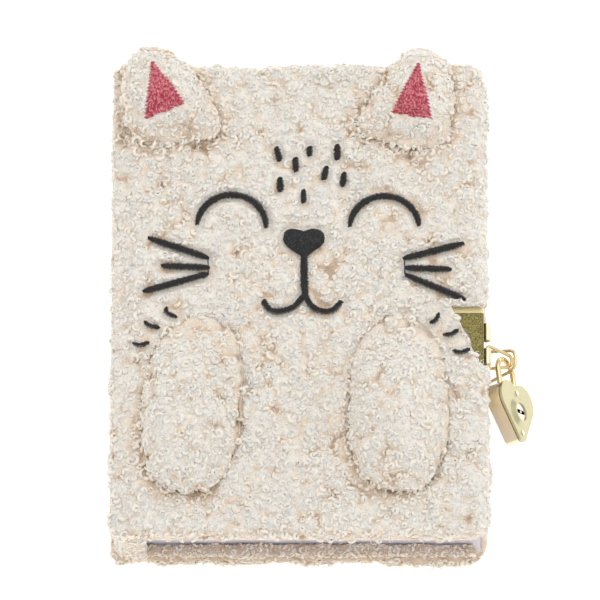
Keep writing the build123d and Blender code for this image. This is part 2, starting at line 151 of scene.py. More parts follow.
# Painted shade: the nickel plug is near black below its face, so the shallow keyway reads as a deep dark
# slot.
nickel = below(shader("nickel", (0.74, 0.70, 0.64), 0.14, 1.0), LOCK_NORMAL, KEYWAY_SHADE, (0.01, 0.008, 0.006))
rivet = shader("rivet", (0.8, 0.76, 0.66), 0.25, 1.0)
dark_metal = shader("dark_metal", (0.12, 0.10, 0.08), 0.5, 1.0)
paint(satin_gold, "padlock_face")
paint(wall_gold, "padlock_case")
paint(wire_gold, "padlock_shackle", "front_loop", "back_loop")
paint(plate_gold, "front_clip", "back_clip")
paint(nickel, "padlock_plug")
paint(rivet, "padlock_rivets")
paint(dark_metal, "padlock_core")

# Text block: lilac-white leaves in sewn sections with a white lining, bands
# at head and tail, and grey-brown boards that only show when opened.
SECTIONS = 8
paper = mottle(
    shader("paper", (0.7, 0.68, 0.75), 0.85),
    0.16 * MM, (0.60, 0.57, 0.67), (0.77, 0.75, 0.81), detail=2.0, stretch=(0.001, 0.001, 1),
)
leaf_paper = shader("leaf_paper", (0.76, 0.74, 0.80), 0.85)
lining = shader("lining", (0.88, 0.86, 0.83), 0.9)
card = mottle(shader("card", (0.5, 0.42, 0.32), 0.95), 0.7 * MM, (0.40, 0.33, 0.25), (0.52, 0.45, 0.35))
wadding = shader("wadding", (0.9, 0.9, 0.88), 1.0)
paint(paper, *[f"section_{k + 1}" for k in range(SECTIONS)])
paint(leaf_paper, "back_flyleaf", "front_flyleaf", "leaf_1", "leaf_2", "leaf_3")
paint(leaf_paper, "front_pastedown", "back_pastedown")
paint(lining, "spine_lining", "front_joint_strip", "back_joint_strip", "head_band", "tail_band")
paint(card, "front_board", "back_board", "spine_board")
paint(wadding, "front_padding", "back_padding")

# Stitched face: black satin thread for the closed eyes, nose, mouth,
# whiskers, claws and forehead spots, laid into the pile.
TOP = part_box("front_plush")[1].z
CLAW = 0.85


def arc(points, count=24):
    """Points along a smooth line through a few given points, in millimetres."""
    given = np.array(points, float)
    if len(given) == 2:
        share = np.linspace(0, 1, count)[:, None]
        return given[0] * (1 - share) + given[1] * share
    ends = np.vstack([2 * given[0] - given[1], given, 2 * given[-1] - given[-2]])
    out = []
    for k in range(1, len(ends) - 2):
        p0, p1, p2, p3 = ends[k - 1 : k + 3]
        for t in np.linspace(0, 1, count // (len(given) - 1), endpoint=False):
            square = (2 * p0 - 5 * p1 + 4 * p2 - p3) * t**2
            cube = (3 * p1 - p0 - 3 * p2 + p3) * t**3
            out.append(0.5 * (2 * p1 + (p2 - p0) * t + square + cube))
    return np.array(out + [given[-1]])


def bow(start, middle, end, count=40):
    """Points on the circle through three points."""
    a, b, c = (np.array(p, float) for p in (start, middle, end))
    m = np.array([b - a, c - a]) * 2
    centre = np.linalg.solve(m, np.array([b @ b - a @ a, c @ c - a @ a]))
    turn = [math.atan2(*(p - centre)[::-1]) for p in (a, b, c)]
    while turn[2] > turn[0]:
        turn[2] -= 2 * math.pi
    angles = np.linspace(turn[0], turn[2], count)
    return centre + np.hypot(*(a - centre)) * np.stack([np.cos(angles), np.sin(angles)], 1)


lines = {
    "eye_left": [(bow((-32.4, 24.6), (-22.2, 34.8), (-10.6, 23.5)), 1.2, 0.5)],
    "eye_right": [(bow((15.8, 23.9), (26.3, 34.4), (37.7, 24.2)), 1.2, 0.5)],
    "mouth": [
        (arc([(1.3, 14.6), (1.4, 7.0), (1.7, -0.6)]), 1.25, 0.9),
        (
            arc([(1.3, 0.7), (-1.6, -3.0), (-4.9, -4.5), (-8.4, -4.8), (-10.4, -3.1), (-11.5, -1.1)]),
            1.1, 0.75,
        ),
        (arc([(1.7, 0.7), (3.6, -2.9), (6.6, -4.6), (10.2, -4.5), (13.0, -1.4)]), 1.1, 0.75),
    ],
    "whiskers_left": [
        (arc([(-47.8, 20.1), (-28.7, 13.3)]), 1.25, 0.5),
        (arc([(-43.6, 10.6), (-28.5, 10.1)]), 1.2, 0.5),
        (arc([(-49.3, 1.9), (-28.9, 8.0)]), 1.25, 0.5),
        (arc([(-28.9, 12.7), (-28.8, 8.2)], 6), 0.22, 1.0),
    ],
    "whiskers_right": [
        (arc([(51.6, 18.3), (32.6, 13.0)]), 1.25, 0.5),
        (arc([(47.7, 9.5), (33.1, 9.9)]), 1.2, 0.5),
        (arc([(52.0, -0.7), (33.3, 7.6)]), 1.3, 0.5),
        (arc([(33.0, 12.5), (33.1, 7.8)], 6), 0.22, 1.0),
    ],
    "claws_left": [
        (arc([(-41.9, -3.4), (-41.9, -5.2), (-38.6, -6.7)]), CLAW, 0.4),
        (arc([(-48.8, -8.2), (-47.2, -9.6), (-44.0, -10.2)]), CLAW, 0.4),
        (arc([(-52.4, -15.5), (-50.1, -16.2), (-47.4, -15.1)]), CLAW, 0.4),
    ],
    "claws_right": [
        (arc([(43.6, -5.4), (42.9, -7.5), (40.9, -8.8)]), CLAW, 0.4),
        (arc([(49.6, -10.9), (47.7, -12.4), (45.0, -12.7)]), CLAW, 0.4),
        (arc([(53.2, -17.4), (50.6, -18.6), (48.0, -18.0)]), CLAW, 0.4),
    ],
    "forehead_spots": [
        (arc([(-7.5, 51.0), (-6.2, 46.3)], 12), 1.15, 0.6),
        (arc([(-1.5, 47.4), (-1.1, 42.7)], 12), 1.15, 0.6),
        (arc([(3.0, 51.1), (3.2, 48.0)], 12), 1.15, 0.7),
        (arc([(11.8, 51.9), (12.0, 46.7)], 12), 1.15, 0.6),
        (arc([(8.4, 44.4), (7.6, 39.9)], 12), 1.15, 0.6),
        (arc([(14.0, 42.4), (13.6, 37.5)], 12), 1.1, 0.6),
        (arc([(-6.4, 40.6), (-6.0, 35.8)], 12), 1.15, 0.6),
        (arc([(1.1, 36.4), (1.3, 32.0)], 12), 1.0, 0.6),
    ],
}
NOSE = np.array(
    [
        (1.2, 22.3), (-0.6, 22.9), (-2.9, 23.1), (-4.6, 22.2),
        (-5.3, 20.0), (-4.3, 17.5), (-2.1, 15.6), (0.1, 14.2),
    ]
    + [(1.3, 13.9), (2.6, 14.1), (4.0, 15.4), (6.6, 17.3), (7.8, 19.6), (7.0, 22.2), (4.6, 23.2), (2.8, 22.9)]
)


def link(name, mesh):
    made = bpy.data.objects.new(name, mesh)
    scene.collection.objects.link(made)
    return made


def mesh_of(name, points, edges=(), faces=()):
    made = bpy.data.meshes.new(name)
    made.from_pydata([tuple(p) for p in points], [tuple(e) for e in edges], [tuple(f) for f in faces])
    made.update()
    return made


def new_group(name, sockets):
    """A geometry node group with the named inputs, and its two end nodes."""
    tree = bpy.data.node_groups.new(name, "GeometryNodeTree")
    tree.interface.new_socket("Geometry", in_out="INPUT", socket_type="NodeSocketGeometry")
    for label, kind in sockets:
        tree.interface.new_socket(label, in_out="INPUT", socket_type=kind)
    tree.interface.new_socket("Geometry", in_out="OUTPUT", socket_type="NodeSocketGeometry")
    return tree, tree.nodes.new("NodeGroupInput"), tree.nodes.new("NodeGroupOutput")


def grow(host, tree, **values):
    """Runs a node group on an object and keeps the result as a plain mesh."""
    modifier = host.modifiers.new("nodes", "NODES")
    modifier.node_group = tree
    for item in tree.interface.items_tree:
        if item.in_out == "INPUT" and item.name.replace(" ", "_") in values:
            modifier[item.identifier] = values[item.name.replace(" ", "_")]
    graph = bpy.context.evaluated_depsgraph_get()
    made = bpy.data.meshes.new_from_object(
        host.evaluated_get(graph), preserve_all_data_layers=True, depsgraph=graph
    )
    host.modifiers.clear()
    host.data = made
    return host


def chain(tree, start, *steps):
    """Links geometry through nodes in turn and returns the last one."""
    for kind, settings in steps:
        node = tree.nodes.new(kind)
        for label, value in settings.items():
            if isinstance(value, bpy.types.NodeSocket):
                tree.links.new(value, node.inputs[label])
            elif label in node.inputs:
                node.inputs[label].default_value = value
            else:
                setattr(node, label, value)
        tree.links.new(start, next(s for s in node.inputs if s.type == "GEOMETRY"))
        start = node.outputs[0]
    return start


def field(tree, kind, **settings):
    """A node without geometry, set by property or by socket name."""
    node = tree.nodes.new(kind)
    for label, value in settings.items():
        title = label.replace("_", " ").title()
        name = title if title in node.inputs else label
        if name in node.inputs and isinstance(value, bpy.types.NodeSocket):
            tree.links.new(value, node.inputs[name])
        elif name in node.inputs:
            node.inputs[name].default_value = value
        else:
            setattr(node, label, value)
    return node


def tube_faces(steps, sides):
    """Quads along a tube of rings, with both ends closed."""
    faces = []
    for k in range(steps):
        for s in range(sides):
            here, ahead = k * sides, (k + 1) * sides
            faces.append((here + s, here + (s + 1) % sides, ahead + (s + 1) % sides, ahead + s))
    faces.append(tuple(reversed(range(sides))))
    faces.append(tuple(range(steps * sides, (steps + 1) * sides)))
    return faces


def thread_mesh(sides=5, steps=6, thick=0.20 * MM, arch=0.42 * MM):
    """One arched stitch across a line: a unit long each way, tapered at its ends."""
    points = []
    for k in range(steps + 1):
        y = -1 + 2 * k / steps
        radius = thick * (0.55 + 0.45 * math.sqrt(max(0, 1 - y**2)))
        for s in range(sides):
            turn = 2 * math.pi * s / sides
            points.append((radius * math.cos(turn), y, arch * (1 - y * y) + radius * math.sin(turn)))
    return mesh_of("thread", points, faces=tube_faces(steps, sides))


stitch = bpy.data.objects.new("stitch", thread_mesh())

satin, enter, leave = new_group(
    "Satin stitch",
    [
        ("Thread", "NodeSocketObject"),
        ("Spacing", "NodeSocketFloat"),
        ("Slant", "NodeSocketFloat"),
        ("Material", "NodeSocketMaterial"),
    ],
)
info = field(satin, "GeometryNodeObjectInfo", Object=enter.outputs["Thread"])
along = field(satin, "GeometryNodeInputTangent")
facing = field(satin, "FunctionNodeAlignRotationToVector", axis="X", pivot_axis="Z", Vector=along.outputs[0])
slant = field(satin, "ShaderNodeCombineXYZ", Z=enter.outputs["Slant"])
slant_turn = field(satin, "FunctionNodeEulerToRotation", Euler=slant.outputs[0])
turned = field(satin, "FunctionNodeRotateRotation", rotation_space="LOCAL")
satin.links.new(facing.outputs[0], turned.inputs["Rotation"])
satin.links.new(slant_turn.outputs[0], turned.inputs["Rotate By"])
half = field(satin, "GeometryNodeInputNamedAttribute", data_type="FLOAT", Name="half")
jitter = field(satin, "FunctionNodeRandomValue", data_type="FLOAT", Seed=7)
SHORTEST, LONGEST = 0.78, 1.16
jitter.inputs[2].default_value = SHORTEST
jitter.inputs[3].default_value = LONGEST
width = field(satin, "ShaderNodeMath", operation="MULTIPLY")
satin.links.new(half.outputs["Attribute"], width.inputs[0])
satin.links.new(jitter.outputs[1], width.inputs[1])
size = field(satin, "ShaderNodeCombineXYZ", X=1.0, Z=1.0)
satin.links.new(width.outputs[0], size.inputs["Y"])
last = chain(
    satin,
    enter.outputs["Geometry"],
    ("GeometryNodeMeshToCurve", {}),
    ("GeometryNodeResampleCurve", {"mode": "LENGTH", "Length": enter.outputs["Spacing"]}),
    (
        "GeometryNodeInstanceOnPoints",
        {"Instance": info.outputs["Geometry"], "Rotation": turned.outputs[0], "Scale": size.outputs[0]},
    ),
    ("GeometryNodeRealizeInstances", {}),
    ("GeometryNodeSetShadeSmooth", {}),
    ("GeometryNodeSetMaterial", {"Material": enter.outputs["Material"]}),
)
satin.links.new(last, leave.inputs["Geometry"])

# Black thread mottled with a few grey specks: the specks are painted glints of the thread's sheen.
black = mottle(
    shader("black_thread", (0.012, 0.012, 0.014), 0.5),
    0.4 * MM, (0.002, 0.002, 0.003), (0.085, 0.085, 0.095), detail=2.0, spread=(0.48, 0.8),
)
LAY = TOP - 0.35 * MM
FULL = 1.06
stitched = []
for name, parts in lines.items():
    points, edges, halves = [], [], []
    for line, half_width, end in parts:
        share = np.linspace(-1, 1, len(line))
        taper = end + (1 - end) * np.sqrt(np.clip(1 - share**4, 0, 1))
        edges += [(len(points) + k, len(points) + k + 1) for k in range(len(line) - 1)]
        points += [(x * MM, y * MM, LAY) for x, y in line]
        halves += list(FULL * half_width * taper * MM)
    host = link(f"{name}_thread", mesh_of(name, points, edges))
    host.data.attributes.new("half", "FLOAT", "POINT").data.foreach_set("value", np.array(halves, np.float32))
    grow(host, satin, Thread=stitch, Spacing=0.36 * MM, Slant=0.3, Material=black)
    stitched.append((host, name))

rows, enter, leave = new_group(
    "Thread rows", [("Thickness", "NodeSocketFloat"), ("Material", "NodeSocketMaterial")]
)
ring = field(rows, "GeometryNodeCurvePrimitiveCircle", Resolution=5)
rows.links.new(enter.outputs["Thickness"], ring.inputs["Radius"])
last = chain(
    rows,
    enter.outputs["Geometry"],
    ("GeometryNodeMeshToCurve", {}),
    ("GeometryNodeCurveToMesh", {"Profile Curve": ring.outputs[0], "Fill Caps": True}),
    ("GeometryNodeSetShadeSmooth", {}),
    ("GeometryNodeSetMaterial", {"Material": enter.outputs["Material"]}),
)
rows.links.new(last, leave.inputs["Geometry"])


def hatch(outline, step, direction):
    """Parallel lines that fill a closed outline, as (start, end) pairs."""
    d = np.array([math.cos(direction), math.sin(direction)])
    n = np.array([-d[1], d[0]])
    u, v = outline @ d, outline @ n
    found = []
    for level in np.arange(v.min() + step / 2, v.max(), step):
        cuts = []
        for k in range(len(outline)):
            a, b = k, (k + 1) % len(outline)
            if (v[a] - level) * (v[b] - level) < 0:
                cuts.append(u[a] + (u[b] - u[a]) * (level - v[a]) / (v[b] - v[a]))
        cuts.sort()
        found += [(d * s + n * level, d * e + n * level) for s, e in zip(cuts[::2], cuts[1::2])]
    return found


nose_line = arc(np.vstack([NOSE, NOSE[:1]]), 6 * len(NOSE))
points, edges = [], []
for start, end in hatch(nose_line, 0.30, math.radians(80)):
    line = arc([start, end], 7)
    rise = 0.55 * (1 - np.linspace(-1, 1, len(line)) ** 4)
    edges += [(len(points) + k, len(points) + k + 1) for k in range(len(line) - 1)]
    points += [(x * MM, y * MM, LAY + h * MM) for (x, y), h in zip(line, rise)]
nose_piece = link("nose_thread", mesh_of("nose_thread", points, edges))
grow(nose_piece, rows, Thickness=0.21 * MM, Material=black)
stitched.append((nose_piece, "nose"))
for host, name in stitched:
    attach(host, "front_cover")
    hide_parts(name)

# Curly white plush over both covers and the spine: a knitted ground in soft lumps, with painted cream light
# on their crests and painted tan shade in the creases, and fine fibre curls.
rng = np.random.default_rng(11)
LATTICE = rng.random(65536)


def lattice_key(cell):
    return (cell[:, 0] * 73856093) ^ (cell[:, 1] * 19349663) ^ (cell[:, 2] * 83492791)


def value_noise(points, cell, seed):
    """Smooth noise from 0 to 1 on a lattice of the given cell size."""
    q = points / cell + seed * 17.3
    i = np.floor(q).astype(np.int64)
    f = q - i
    f = f * f * (3 - 2 * f)
    total = np.zeros(len(points))
    for step in np.ndindex(2, 2, 2):
        weight = np.prod(np.where(step, f, 1 - f), axis=1)
        total += LATTICE[lattice_key(i + step) & 65535] * weight
    return total


def domes(points, cell, seed):
    """Rounded lumps from 0 in the creases to 1 on the crests."""
    bend = np.stack([value_noise(points, 2.2, seed + k) for k in (5, 6, 7)], 1) - 0.5
    q = (points + 1.5 * bend) / cell + seed * 9.7
    base = np.floor(q).astype(np.int64)
    nearest = np.full(len(q), 9.0)
    for step in np.ndindex(3, 3, 3):
        at = base + np.array(step) - 1
        key = lattice_key(at)
        spot = at + np.stack([LATTICE[(key + 7919 * k) & 65535] for k in range(3)], 1)
        nearest = np.minimum(nearest, ((q - spot) ** 2).sum(1))
    return np.sqrt(np.clip(1 - nearest / 0.95, 0, 1))


def tree_of(*meshes):
    points, faces = [], []
    for mesh in meshes:
        base = len(points)
        points += [v.co for v in mesh.vertices]
        faces += [[base + k for k in p.vertices] for p in mesh.polygons]
    return BVHTree.FromPolygons(points, faces)


def remeshed(source, voxel):
    """An even mesh over a plush piece, fine enough for its lumps."""
    modifier = source.modifiers.new("even", "REMESH")
    modifier.mode = "VOXEL"
    modifier.voxel_size = voxel
    graph = bpy.context.evaluated_depsgraph_get()
    made = bpy.data.meshes.new_from_object(source.evaluated_get(graph), depsgraph=graph)
    bpy.data.objects.remove(source)
    return made


def arrays(mesh):
    co = np.zeros(len(mesh.vertices) * 3, np.float32)
    no = np.zeros(len(mesh.vertices) * 3, np.float32)
    mesh.vertices.foreach_get("co", co)
    mesh.vertex_normals.foreach_get("vector", no)
    return co.reshape(-1, 3).astype(float), no.reshape(-1, 3).astype(float)


def spread_in(value, low, high):
    """0 below low, 1 above high, smooth between."""
    t = np.clip((value - low) / (high - low), 0, 1)
    return t * t * (3 - 2 * t)


NOSE_MIDDLE = (1.2, 19.5)
NOSE_RINGS = 8
line_points = sum(len(line) for parts in lines.values() for line, _, _ in parts)
stitch_tree = KDTree(line_points + len(nose_line) * NOSE_RINGS)
count = 0
for parts in lines.values():
    for line, half_width, _ in parts:
        for x, y in line:
            stitch_tree.insert((x, y, half_width), count)
            count += 1
for shrink in np.linspace(0, 0.9, NOSE_RINGS):
    for x, y in (nose_line - NOSE_MIDDLE) * (1 - shrink) + NOSE_MIDDLE:
        stitch_tree.insert((x, y, 0.6), count)
        count += 1
stitch_tree.balance()


def fleece_shader(name, colors, up=0.0):
    """Plush painted from tan shade in the creases to cream light on the crests of its lumps and, by a share,
    darker low in a curl and lighter at its top.
    """
    made = shader(
        name, colors[-1][1], 0.9, Specular_IOR_Level=0.08,
        Subsurface_Weight=0.5, Subsurface_Scale=1.2 * MM, Subsurface_Radius=(1.0, 0.8, 0.6),
    )
    tree = made.node_tree
    painted_light = field(tree, "ShaderNodeAttribute", attribute_name="painted_light")
    rise = field(tree, "ShaderNodeAttribute", attribute_name="rise")
    both = field(tree, "ShaderNodeMix", data_type="FLOAT")
    both.inputs["Factor"].default_value = up
    ramp = field(tree, "ShaderNodeValToRGB")
    for place, color in colors[1:-1]:
        ramp.color_ramp.elements.new(place).color = (*color, 1)
    ramp.color_ramp.elements[0].color = (*colors[0][1], 1)
    ramp.color_ramp.elements[-1].color = (*colors[-1][1], 1)
    tree.links.new(painted_light.outputs["Fac"], both.inputs["A"])
    tree.links.new(rise.outputs["Fac"], both.inputs["B"])
    tree.links.new(both.outputs["Result"], ramp.inputs["Fac"])
    tree.links.new(ramp.outputs["Color"], tree.nodes["Principled BSDF"].inputs["Base Color"])
    return made


# The ramps run from painted tan shade at the low stops, for creases and the bottoms of curls, to painted
# cream light at the high stops.
fleece = fleece_shader(
    "fleece",
    (
        (0, (0.52, 0.39, 0.29)),
        (0.5, (0.88, 0.74, 0.61)),
        (0.8, (0.92, 0.85, 0.765)),
        (1, (0.93, 0.88, 0.815)),
    ),
)
fleece_curl = fleece_shader(
    "fleece_curl",
    (
        (0, (0.64, 0.50, 0.38)),
        (0.3, (0.90, 0.79, 0.67)),
        (0.55, (0.91, 0.84, 0.755)),
        (1, (0.88, 0.835, 0.77)),
    ),
    # A share of painted shade low in each curl and painted light at its top.
    up=0.12,
)
tree = fleece.node_tree
place = field(tree, "ShaderNodeTexCoord")
stray = field(tree, "ShaderNodeTexNoise", Scale=1 / (1.5 * MM), Detail=1.0)
pull = field(tree, "ShaderNodeVectorMath", operation="MULTIPLY_ADD")
pull.inputs[1].default_value = (0.9 * MM,) * 3
rings = field(tree, "ShaderNodeTexVoronoi", Scale=1 / (2.1 * MM))
turns = field(tree, "ShaderNodeMath", operation="MULTIPLY")
turns.inputs[1].default_value = 17.0
wave = field(tree, "ShaderNodeMath", operation="SINE")
relief = field(tree, "ShaderNodeBump", Strength=0.5, Distance=0.3 * MM)
tree.links.new(place.outputs["Object"], stray.inputs["Vector"])
tree.links.new(stray.outputs["Color"], pull.inputs[0])
tree.links.new(place.outputs["Object"], pull.inputs[2])
tree.links.new(pull.outputs[0], rings.inputs["Vector"])
tree.links.new(rings.outputs["Distance"], turns.inputs[0])
tree.links.new(turns.outputs[0], wave.inputs[0])
tree.links.new(wave.outputs[0], relief.inputs["Height"])
tree.links.new(relief.outputs["Normal"], tree.nodes["Principled BSDF"].inputs["Normal"])
TUFT, SWELL, GRAIN = 4.4, 9.0, 1.6
MIDDLE = 0.72
DEEPEST_SHADE = 0.22


def lumpy(name, mesh, outer, pile=None, seed=1, recess=0.9, shade=None, height=2.0, reshape=None):
    """The ground of one plush piece. outer gives, for points and normals, where the pile shows."""
    co, no = arrays(mesh)
    if reshape is not None:
        mesh.vertices.foreach_set("co", (reshape(co / MM, no) * MM).astype(np.float32).ravel())
        mesh.update()
        co, no = arrays(mesh)
    mm = co / MM
    shown = outer(mm, no)
    grown = shown if pile is None else shown * pile(mm)
    lump = domes(mm, TUFT, seed)
    swell = (value_noise(mm, SWELL, seed) - 0.5) * 1.6
    grain = (value_noise(mm, GRAIN, seed + 3) - 0.5) * 0.55
    wave = 0.3 + (lump - MIDDLE) * height + swell + grain
    sunk = recess(mm) if callable(recess) else recess
    lift = (wave - sunk) * grown - (sunk + 0.25) * (shown - grown)
    # Painted light and shade from the lumps: cream where they stand high, tan in the creases, and darkened
    # further by shade.
    painted_light = np.clip(0.61 + 1.2 * (lump - MIDDLE) + 0.24 * wave, DEEPEST_SHADE, 1)
    if shade is not None:
        painted_light *= shade(mm)
    co = co + no * (lift * MM)[:, None]
    mesh.vertices.foreach_set("co", co.astype(np.float32).ravel())
    for label, values in (("pile", grown), ("painted_light", painted_light)):
        mesh.attributes.new(label, "FLOAT", "POINT").data.foreach_set("value", values.astype(np.float32))
    mesh.polygons.foreach_set("use_smooth", [True] * len(mesh.polygons))
    mesh.materials.clear()
    mesh.materials.append(fleece)
    mesh.update()
    return link(f"{name}_ground", mesh)


def curl_mesh(turns, wide, narrow, rise, tube, steps=6, sides=3):
    """A bent loop of fine yarn, thinner at its two ends."""
    points = []
    for k in range(steps + 1):
        t = k / steps
        a = 2 * math.pi * turns * t
        r = wide + (narrow - wide) * t
        thick = tube * (0.6 + 0.4 * math.sin(math.pi * t))
        for s in range(sides):
            turn = 2 * math.pi * (s + 0.5) / sides
            reach = r + thick * math.cos(turn)
            height = rise * t + thick * math.sin(turn)
            points.append((reach * math.cos(a) * MM, reach * math.sin(a) * MM, height * MM))
    quads = [(a, d, c, b) for a, b, c, d in tube_faces(steps, sides)[:-2]]
    ends = [face[::-1] for face in tube_faces(steps, sides)[-2:]]
    made = mesh_of("curl", points, faces=quads + ends)
    # The rise attribute carries the height in the curl, used to paint its low parts shaded and its top lit.
    heights = np.array(points)[:, 2]
    shares = (heights - heights.min()) / np.ptp(heights)
    made.attributes.new("rise", "FLOAT", "POINT").data.foreach_set("value", shares.astype(np.float32))
    return made


def curl_set(name, forms, **detail):
    """A collection of curls for the scatter to pick from."""
    made = bpy.data.collections.new(name)
    for number, form in enumerate(forms):
        made.objects.link(bpy.data.objects.new(f"{name}_{number}", curl_mesh(*form, **detail)))
    return made


KNOTS = curl_set(
    "knots",
    (
        (1.15, 0.68, 0.36, 0.6, 0.50),
        (1.0, 0.80, 0.55, 0.5, 0.46),
        (1.3, 0.62, 0.2, 0.75, 0.48),
        (0.8, 1.05, 0.7, 0.4, 0.42),
    ),
    steps=8, sides=5,
)
LOOPS = curl_set(
    "loops",
    (
        (0.95, 0.95, 0.85, 0.25, 0.09),
        (0.85, 1.15, 1.0, 0.3, 0.10),
        (1.0, 0.75, 0.6, 0.35, 0.09),
        (0.6, 1.4, 1.2, 0.2, 0.09),
    ),
)

scatter, enter, leave = new_group(
    "Pile",
    [
        ("Kinds", "NodeSocketCollection"),
        ("Spacing", "NodeSocketFloat"),
        ("Size", "NodeSocketFloat"),
        ("Tilt", "NodeSocketFloat"),
        ("Lift", "NodeSocketFloat"),
        ("Seed", "NodeSocketInt"),
        ("Material", "NodeSocketMaterial"),
    ],
)
kinds = field(scatter, "GeometryNodeCollectionInfo", Collection=enter.outputs["Kinds"])
kinds.inputs["Separate Children"].default_value = True
kinds.inputs["Reset Children"].default_value = True
pile_share = field(scatter, "GeometryNodeInputNamedAttribute", data_type="FLOAT", Name="pile")
spread = scatter.nodes.new("GeometryNodeDistributePointsOnFaces")
spread.distribute_method = "POISSON"
scatter.links.new(enter.outputs["Geometry"], spread.inputs["Mesh"])
scatter.links.new(enter.outputs["Spacing"], spread.inputs["Distance Min"])
scatter.links.new(pile_share.outputs["Attribute"], spread.inputs["Density Factor"])
scatter.links.new(enter.outputs["Seed"], spread.inputs["Seed"])
spread.inputs["Density Max"].default_value = 2.5e6
raised = field(scatter, "ShaderNodeVectorMath", operation="SCALE")
scatter.links.new(spread.outputs["Normal"], raised.inputs[0])
scatter.links.new(enter.outputs["Lift"], raised.inputs["Scale"])
tip = field(scatter, "ShaderNodeMath", operation="MULTIPLY")
tip.inputs[1].default_value = -1.0
scatter.links.new(enter.outputs["Tilt"], tip.inputs[0])
low = field(scatter, "ShaderNodeCombineXYZ", Z=0.0)
high = field(scatter, "ShaderNodeCombineXYZ", Z=6.2832)
for axis in ("X", "Y"):
    scatter.links.new(tip.outputs[0], low.inputs[axis])
    scatter.links.new(enter.outputs["Tilt"], high.inputs[axis])
turn = field(scatter, "FunctionNodeRandomValue", data_type="FLOAT_VECTOR")
scatter.links.new(low.outputs[0], turn.inputs[0])
scatter.links.new(high.outputs[0], turn.inputs[1])
scatter.links.new(enter.outputs["Seed"], turn.inputs["Seed"])
turn_by = field(scatter, "FunctionNodeEulerToRotation", Euler=turn.outputs[0])
placed = field(scatter, "FunctionNodeRotateRotation", rotation_space="LOCAL")
scatter.links.new(spread.outputs["Rotation"], placed.inputs["Rotation"])
scatter.links.new(turn_by.outputs[0], placed.inputs["Rotate By"])
vary = field(scatter, "FunctionNodeRandomValue", data_type="FLOAT", Seed=3)
vary.inputs[2].default_value = 0.65
vary.inputs[3].default_value = 1.4
grown_size = field(scatter, "ShaderNodeMath", operation="MULTIPLY")
scatter.links.new(vary.outputs[1], grown_size.inputs[0])
scatter.links.new(enter.outputs["Size"], grown_size.inputs[1])
last = chain(
    scatter,
    spread.outputs["Points"],
    ("GeometryNodeSetPosition", {"Offset": raised.outputs[0]}),
    (
        "GeometryNodeInstanceOnPoints",
        {
            "Instance": kinds.outputs[0],
            "Pick Instance": True,
            "Rotation": placed.outputs[0],
            "Scale": grown_size.outputs[0],
        },
    ),
    ("GeometryNodeRealizeInstances", {}),
    ("GeometryNodeSetShadeSmooth", {}),
    ("GeometryNodeSetMaterial", {"Material": enter.outputs["Material"]}),
)
scatter.links.new(last, leave.inputs["Geometry"])


def pile_on(ground, name, body, gap=1.8, size=1.15, seed=1, part=None):
    """Thick and thin curls over the ground, or over the part of it where part(points) is true."""
    for label, kinds, spacing, lift, tilt in (
        ("knots", KNOTS, gap, -0.42, 0.65),
        ("loops", LOOPS, 1.8 * gap, 0.45, 1.2),
    ):
        host = link(f"{name}_{label}", ground.data.copy())
        if part is not None:
            co, _ = arrays(host.data)
            values = np.zeros(len(co), np.float32)
            host.data.attributes["pile"].data.foreach_get("value", values)
            host.data.attributes["pile"].data.foreach_set("value", values * part(co / MM).astype(np.float32))
        grow(
            host, scatter, Kinds=kinds, Spacing=spacing * MM, Size=size,
            Tilt=tilt, Lift=lift * MM, Seed=seed, Material=fleece_curl,
        )
        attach(host, body)


def copy_of(name, reshape=None):
    """A copy of a plush piece; reshape moves its points, given in millimetres."""
    mesh = nodes[name].data.copy()
    if reshape is not None:
        co, _ = arrays(mesh)
        mesh.vertices.foreach_set("co", (reshape(co / MM) * MM).astype(np.float32).ravel())
    return link("source", mesh)


# Two stuffed ears and two stuffed paws of the same plush, sewn on the cover:
# the ears rise from flat bases, the paws from their claws and right-hand sides.
lo, hi = (np.array(v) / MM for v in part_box("front_plush"))
board_lo, board_hi = (np.array(v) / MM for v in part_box("front_board"))
front_inner, front_outer = lo[2], hi[2]
back_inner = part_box("back_plush")[1].z / MM
EAR_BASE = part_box("ear_left")[0].y / MM
PAW_MIDDLES = (-32.5, 31.5)
stuffed = {}
lean = {"ear_left": -3.0, "ear_right": 1.5, "paw_left": 0.0, "paw_right": 0.0}


def paw_side(mm):
    """How far a point lies to the right of the middle of the paw on its half of the cover."""
    return mm[:, 0] - np.where(mm[:, 0] > 0, PAW_MIDDLES[1], PAW_MIDDLES[0])


def settled(name):
    """A stuffed piece as it lies: ears rise slowly from their base, paws from their claws."""
    low_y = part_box(name)[0].y / MM
    is_ear = name.startswith("ear")

    def reshape(mm):
        if is_ear:
            share = 0.12 + 0.88 * spread_in(mm[:, 1], low_y, low_y + 20)
        else:
            share = 0.3 + 0.55 * spread_in(-mm[:, 1], 8, 38)
            share = share * (1 - 0.5 * spread_in(paw_side(mm), 0, 15))
        out = mm.copy()
        out[:, 0] += lean[name] * spread_in(mm[:, 1], low_y + 8, low_y + 30)
        out[:, 2] = front_outer + (mm[:, 2] - front_outer) * share
        return out

    return copy_of(name, reshape)


def ear_recess(mm):
    """The pile stands fuller towards the tip of an ear."""
    return 1.2 - 2.0 * spread_in(mm[:, 1], EAR_BASE, EAR_BASE + 15)


def paw_recess(mm):
    """The pile sinks into the cover at the claws and the right-hand side of a paw."""
    return 1.3 - 0.8 * spread_in(-mm[:, 1], 8, 35) * (1 - spread_in(paw_side(mm), 4, 15))


